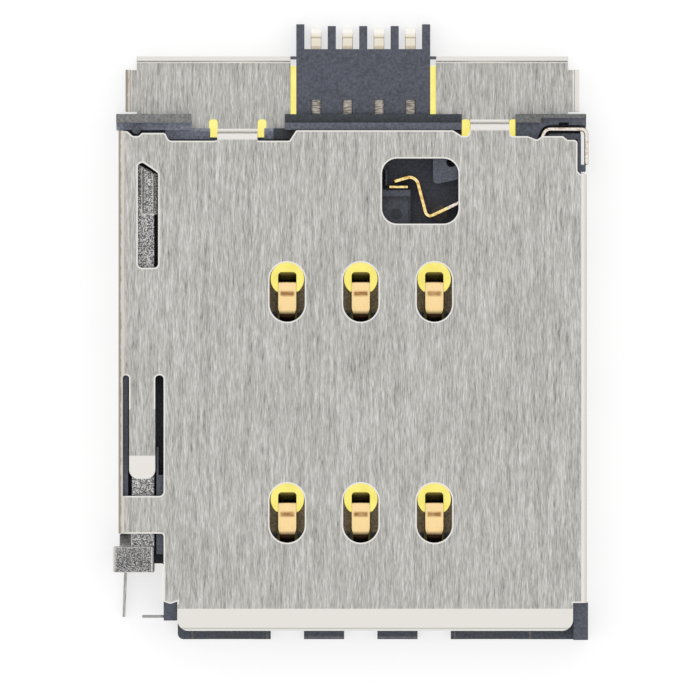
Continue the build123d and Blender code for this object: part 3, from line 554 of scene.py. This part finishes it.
# %% Gold on the springs
GOLD = (1.00, 0.74, 0.37)
GOLD_WORN = (0.36, 0.18, 0.065)
GOLD_DEEP = (0.035, 0.018, 0.010)
WEAR = (-0.09 * MM, -0.01 * MM, 0.20 * MM)
WEAR_SOFT = 0.08 * MM
FADE_SIZE = (0.2, 0.1, 0.2)
FADE_SPAN = (0.30, 0.60)
FADE_LEAST = 0.7
TIP_TURNS = (0.32 * MM, 0.37 * MM)
ROOT_TURNS = (-0.62 * MM, -0.76 * MM)


def spring_gold(tree):
    """The tone of the springs, and the mask of their tips."""
    behind = behind_row(tree)
    faded = spread(tree, grain(tree, FADE_SIZE, detail=1.0), *FADE_SPAN, FADE_LEAST, 1.0)
    worn = both(tree, patch(tree, *WEAR, WEAR_SOFT), faded)
    tone = blend_colours(tree, worn, GOLD, GOLD_WORN)
    tip = spread(tree, behind, *TIP_TURNS)
    root = spread(tree, behind, *ROOT_TURNS)
    return blend_colours(tree, either(tree, tip, root), tone, GOLD_DEEP), tip


# %% [markdown]
# The leads that run on to the comb are tinned, so past the rear wall the gold gives way to
# a pale metal. In the comb's windows it is darker and finely ridged across. Each bare finger
# is darker at its foot with painted shade, has a fine dark line across it, and is bright at
# its end with a painted highlight.
# Gold and tin could be two materials, but a spring and its lead are one strip and the one
# fades into the other, so the tones follow each other along Y in a single material.

# %% Tin on the leads
TINNED = (0.84, 0.77, 0.64)
TIN_FOOT_SHADE = (0.64, 0.56, 0.43)
TIN_DARK_LINE = (0.50, 0.44, 0.33)
TIN_END_HIGHLIGHT = (1.00, 0.98, 0.92)
TIN_STARTS = (9.7 * MM, 9.8 * MM)
FINGER_FOOT = (11.9 * MM, 12.30 * MM)
FOOT_SOFT = 0.05 * MM
FINGER_DARK_LINE = (12.60 * MM, 12.63 * MM)
DARK_LINE_SOFT = 0.02 * MM
FINGER_END = (12.68 * MM, 12.83 * MM)
RIDGE_SIZE = (0.30, 0.05, 0.30)
RIDGE_STOPS = ((0.38, (0.20, 0.18, 0.15)), (0.55, (0.50, 0.46, 0.41)))
COMB_WINDOW = (9.9 * MM, 10.7 * MM)
WINDOW_SOFT = 0.1 * MM


def lead_tin(tree, tone):
    """The tone that is handed in, with the tin of the leads over it."""
    along = place_along(tree, "Y")
    foot = band(tree, along, *FINGER_FOOT, FOOT_SOFT)
    dark_line = band(tree, along, *FINGER_DARK_LINE, DARK_LINE_SOFT)
    tone = blend_colours(tree, spread(tree, along, *TIN_STARTS), tone, TINNED)
    # Painted shade on each finger's foot and a painted highlight on its end.
    tone = blend_colours(tree, foot, tone, TIN_FOOT_SHADE)
    tone = blend_colours(tree, dark_line, tone, TIN_DARK_LINE)
    tone = blend_colours(tree, spread(tree, along, *FINGER_END), tone, TIN_END_HIGHLIGHT)
    ridged = ramp(tree, grain(tree, RIDGE_SIZE, detail=1.0), *RIDGE_STOPS)
    window = band(tree, along, *COMB_WINDOW, WINDOW_SOFT)
    return blend_colours(tree, window, tone, ridged)


# %% [markdown]
# That material is made here. Its fine scratches along the strip could be bumps, but at
# this size they only change how sharply the gold shines, so they vary its roughness. The
# blades are a little cambered, so like the shell's rims they are turned up in the shading
# and stay bright, all but their tips.

# %% Gold contacts
SCRATCH_SIZE = (0.04, 0.5, 0.04)
SCRATCHED = (0.22, 0.38)
BLADE_LIFT = 1.2


def plated_gold():
    material, tree, shader = start_material("contact_gold", Metallic=1.0, Roughness=0.28)
    tone, tip = spring_gold(tree)
    join(tree, lead_tin(tree, tone), shader.inputs["Base Color"])
    scratches = spread(tree, grain(tree, SCRATCH_SIZE), *NOISE_SPAN, *SCRATCHED)
    join(tree, scratches, shader.inputs["Roughness"])
    turn_up(tree, shader, spread(tree, tip, 0, 1, BLADE_LIFT, 0))
    return material


contact_finish = plated_gold()
tell(contact_finish)

# %% [markdown]
# The detect switch is the same gold strip set on edge. Its upper edge is blotched with
# bright and coppery spots, and its rounded sides get a painted shade of deep brown gold.
# Past the middle of its straight run the plating ends and the bare spring goes on to the
# rear corner, silver with a faint copper tint, its sides painted a darker shade too. The
# contacts' gold would give it one even tone from above, so it gets a material of its own,
# which tells edge from side by the way a face is turned.

# %% Detect spring
BLOTCH_SIZE = (0.11, 0.11, 0.3)
LEAF_STOPS = ((0.36, (0.62, 0.36, 0.12)), (0.48, (0.93, 0.68, 0.25)), (0.62, (1.00, 0.86, 0.42)))
BARE_STOPS = ((0.36, (0.60, 0.44, 0.33)), (0.48, (0.84, 0.77, 0.70)), (0.62, (0.90, 0.85, 0.76)))
LEAF_SIDE_SHADE = (0.20, 0.09, 0.025)
BARE_SIDE_SHADE = (0.36, 0.30, 0.26)
FLANK = (0.93, 0.72)
PLATING_ENDS = (2.95 * MM, 3.05 * MM)


def half_plated():
    material, tree, shader = start_material("detect_gold", Metallic=1.0, Roughness=0.25)
    blotches = grain(tree, BLOTCH_SIZE)
    # Painted shade on the rounded sides, found by the way they face.
    flank_shade = spread(tree, facing(tree, "Z"), *FLANK)
    plated = blend_colours(tree, flank_shade, ramp(tree, blotches, *LEAF_STOPS), LEAF_SIDE_SHADE)
    plain = blend_colours(tree, flank_shade, ramp(tree, blotches, *BARE_STOPS), BARE_SIDE_SHADE)
    bare = spread(tree, place_along(tree, "X"), *PLATING_ENDS)
    join(tree, blend_colours(tree, bare, plated, plain), shader.inputs["Base Color"])
    return material


leaf_finish = half_plated()
tell(leaf_finish)

# %% [markdown]
# Near the inner end of the push rod's bar a low embossed rib has a fine bright rim. The rib
# could be raised in the mesh, but it hardly has a depth, so its rim is a painted highlight,
# a line of light drawn as one field minus a smaller one inside it.

# %% Punched outline
RIB_SIDES = (-7.575 * MM, -7.150 * MM)
RIB_END = 6.48 * MM
RIM_HIGHLIGHT_WIDTH = 0.04 * MM
RIM_HIGHLIGHT_SOFT = 0.01 * MM


def rib_rim_highlight(tree):
    # A painted highlight along the rib's rim.
    side, along = place_along(tree, "X"), place_along(tree, "Y")
    left, right = RIB_SIDES
    fields = []
    for inset in (0, RIM_HIGHLIGHT_WIDTH):
        across = band(tree, side, left + inset, right - inset, RIM_HIGHLIGHT_SOFT)
        end = RIB_END + inset
        fields.append(both(tree, across, spread(tree, along, end - RIM_HIGHLIGHT_SOFT, end)))
    return without(tree, *fields)


# %% [markdown]
# The rod is sintered steel, pressed from powder, so its skin is a salt-and-pepper of dark
# pores and bright grains. Its slanted edges get a painted highlight. The thumb face of the
# pusher is darker than the bar, and the low wing beside it is darker still, a painted shade. The
# pores
# could be cut into the mesh, but they are hardly larger than a pixel, so one noise gives
# them both their colour and their bumps, as on the plastic.

# %% Rod steel
PORE_SIZE = (0.044, 0.044, 0.044)
PORE_DEPTH = 0.006 * MM
PORE_STOPS = (
    (0.36, (0.080, 0.080, 0.080)),
    (0.46, (0.22, 0.22, 0.22)),
    (0.54, (0.39, 0.38, 0.38)),
    (0.66, (0.76, 0.75, 0.74)),
)
ROD_RIM_HIGHLIGHT = (0.66, 0.65, 0.63)
SLANT_HIGHLIGHT = (0.78, 0.75, 0.72)
SLANTED = (0.45, 0.85)
SLANTED_SOFT = 0.14
WING_TOP = (1.00 * MM, 1.10 * MM)
WING_SHADE = 0.22
PUSHER_TOP = (1.30 * MM, 1.40 * MM)
PUSHER_TONE = 0.70


def sintered_steel():
    material, tree, shader = start_material("rod_steel", Metallic=1.0, Roughness=0.4)
    pores = grain(tree, PORE_SIZE, detail=1.0)
    height = place_along(tree, "Z")
    # Painted shade darkens the low wing.
    wing_shade = spread(tree, height, *WING_TOP, WING_SHADE, 1.0)
    pusher = spread(tree, height, *PUSHER_TOP, 1.0, PUSHER_TONE)
    tone = work_out(tree, "MULTIPLY", wing_shade, pusher)
    skin = blend_colours(tree, tone, BLACK, ramp(tree, pores, *PORE_STOPS))
    # Painted highlights on the rib's rim and on the slanted edges.
    skin = blend_colours(tree, rib_rim_highlight(tree), skin, ROD_RIM_HIGHLIGHT)
    slanted = band(tree, facing(tree, "Z"), *SLANTED, SLANTED_SOFT)
    join(tree, blend_colours(tree, slanted, skin, SLANT_HIGHLIGHT), shader.inputs["Base Color"])
    raise_bumps(tree, shader, pores, PORE_DEPTH)
    return material


rod_finish = sintered_steel()
tell(rod_finish)

# %% [markdown]
# The lever, its rivet and the rod stop are plain stamped steel with hardly any grain. One
# even grey would do for so little, but a soft noise keeps it from looking like paint.

# %% Lever steel
STAMPED = (0.42, 0.42, 0.41)
STAMPED_DARK = (0.30, 0.30, 0.295)
STAMPED_SIZE = (0.15, 0.15, 0.15)


def stamped_steel():
    material, tree, shader = start_material("lever_steel", Metallic=1.0, Roughness=0.35)
    soft = grain(tree, STAMPED_SIZE)
    colour = ramp(tree, soft, *zip(NOISE_SPAN, (STAMPED_DARK, STAMPED)))
    join(tree, colour, shader.inputs["Base Color"])
    return material


lever_finish = stamped_steel()
tell(lever_finish)

# %% [markdown]
# A stamped edge is never perfectly sharp, and its small rounding is what shines as a
# bright line. A shader can fake that rounding, but it would be missing from the finished
# mesh, so modifiers cut it. One closes the mesh, one rounds its edges and one keeps the
# flat faces flat in the shading. The shell's solid has rolled rims of its own and the
# moulding has crisp edges, so those two go without.

# %% Rounded edges
EDGE_ANGLE = math.radians(32)
EDGE_SEGMENTS = 2
WELD_GAP = 0.0005 * MM
FLAT_WEIGHT = 100


def round_edges(piece, width):
    weld = piece.modifiers.new("weld", "WELD")
    weld.merge_threshold = WELD_GAP
    bevel = piece.modifiers.new("edge", "BEVEL")
    bevel.width = width
    bevel.segments = EDGE_SEGMENTS
    bevel.limit_method = "ANGLE"
    bevel.angle_limit = EDGE_ANGLE
    bevel.use_clamp_overlap = False
    bevel.loop_slide = False
    smooth = piece.modifiers.new("shading", "WEIGHTED_NORMAL")
    smooth.weight = FLAT_WEIGHT


# %% [markdown]
# Now every piece gets its finish. It could be given piece by piece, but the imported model
# already says what each piece is made of, so one table by those names is enough. Only the
# two pieces of the detect switch differ from it, because they stand on edge.

# %% Dress every piece
SPRING_EDGE = 0.015 * MM
ROD_EDGE = 0.025 * MM
LEAF_EDGE = 0.030 * MM
finishes = {
    "shell_steel": (shell_finish, 0),
    "base_plastic": (base_finish, 0),
    "film_yellow": (film_finish, SPRING_EDGE),
    "contact_gold": (contact_finish, SPRING_EDGE),
    "rod_steel": (rod_finish, ROD_EDGE),
    "lever_steel": (lever_finish, SPRING_EDGE),
}
slots = {part["node"]: part["material_slot"] for part in frame["record"]["subparts"]}
on_edge = ("detect_spring", "detect_contact")
for name, piece in pieces.items():
    material, edge = (leaf_finish, LEAF_EDGE) if name in on_edge else finishes[slots[name]]
    piece.data.materials.clear()
    piece.data.materials.append(material)
    if edge:
        round_edges(piece, edge)
print("dressed", len(pieces), "pieces,", sum(bool(p.modifiers) for p in pieces.values()), "rounded")

# %% [markdown]
# The reader lies on a pale table in a white studio. A pure white table would be easy, but
# it loses the soft shadow that shows where the reader stands. This one is a plain matt
# surface with a little light of its own that only the camera and shiny surfaces see, so it
# looks white and keeps the shadow. It lies a hair below the film, because two surfaces at
# one height would show through each other.

# %% The table
TABLE_SIDE = 400 * MM
TABLE_LEVEL = -0.01 * MM
TABLE_COLOUR = (0.38, 0.38, 0.38, 1.0)
TABLE_GLOW = 0.65


def table_white():
    material = bpy.data.materials.new("table")
    material.use_nodes = True
    tree = material.node_tree
    tree.nodes.clear()
    matt = add(tree, "BsdfDiffuse", Color=TABLE_COLOUR)
    glow = add(tree, "Emission")
    rays = add(tree, "LightPath")
    seen = rays.outputs["Is Camera Ray"]
    for other in ("Is Glossy Ray", "Is Transmission Ray"):
        seen = either(tree, seen, rays.outputs[other])
    join(tree, spread(tree, seen, 0, 1, 0, TABLE_GLOW), glow.inputs["Strength"])
    total = add(tree, "AddShader")
    join(tree, matt.outputs[0], total.inputs[0])
    join(tree, glow.outputs[0], total.inputs[1])
    output = add(tree, "OutputMaterial")
    join(tree, total.outputs[0], output.inputs["Surface"])
    return material


def make_table():
    half = TABLE_SIDE / 2
    mesh = bpy.data.meshes.new("table")
    corners = [(x * half, y * half, TABLE_LEVEL) for x, y in ((-1, -1), (1, -1), (1, 1), (-1, 1))]
    mesh.from_pydata(corners, [], [(0, 1, 2, 3)])
    mesh.materials.append(table_white())
    table = bpy.data.objects.new("table", mesh)
    bpy.context.scene.collection.objects.link(table)


make_table()
print("table side in mm:", round(TABLE_SIDE / MM))

# %% [markdown]
# The light is a plain white dome, nearly even, so each colour shows about as it is
# written. Lamps would be the usual choice, but polished steel mirrors each of them as a
# glaring spot. The dome is a little dimmer straight overhead, where the camera would be,
# so bent and rounded edges stand out from the level plate that mirrors it.

# %% The light
DOME_TOP = 0.97
DOME_SIDE = 1.05
TOP_ENDS = math.cos(math.radians(10))
SIDE_STARTS = math.cos(math.radians(30))


def make_dome():
    world = bpy.data.worlds.new("studio")
    world.use_nodes = True
    bpy.context.scene.world = world
    tree = world.node_tree
    background = tree.nodes["Background"]
    place = add(tree, "TexCoord")
    split = add(tree, "SeparateXYZ")
    join(tree, place.outputs["Generated"], split.inputs["Vector"])
    strength = spread(tree, split.outputs["Z"], SIDE_STARTS, TOP_ENDS, DOME_SIDE, DOME_TOP)
    background.inputs["Color"].default_value = (1.0, 1.0, 1.0, 1.0)
    join(tree, strength, background.inputs["Strength"])


make_dome()
print("dome strength:", DOME_TOP, "overhead and", DOME_SIDE, "at the sides")
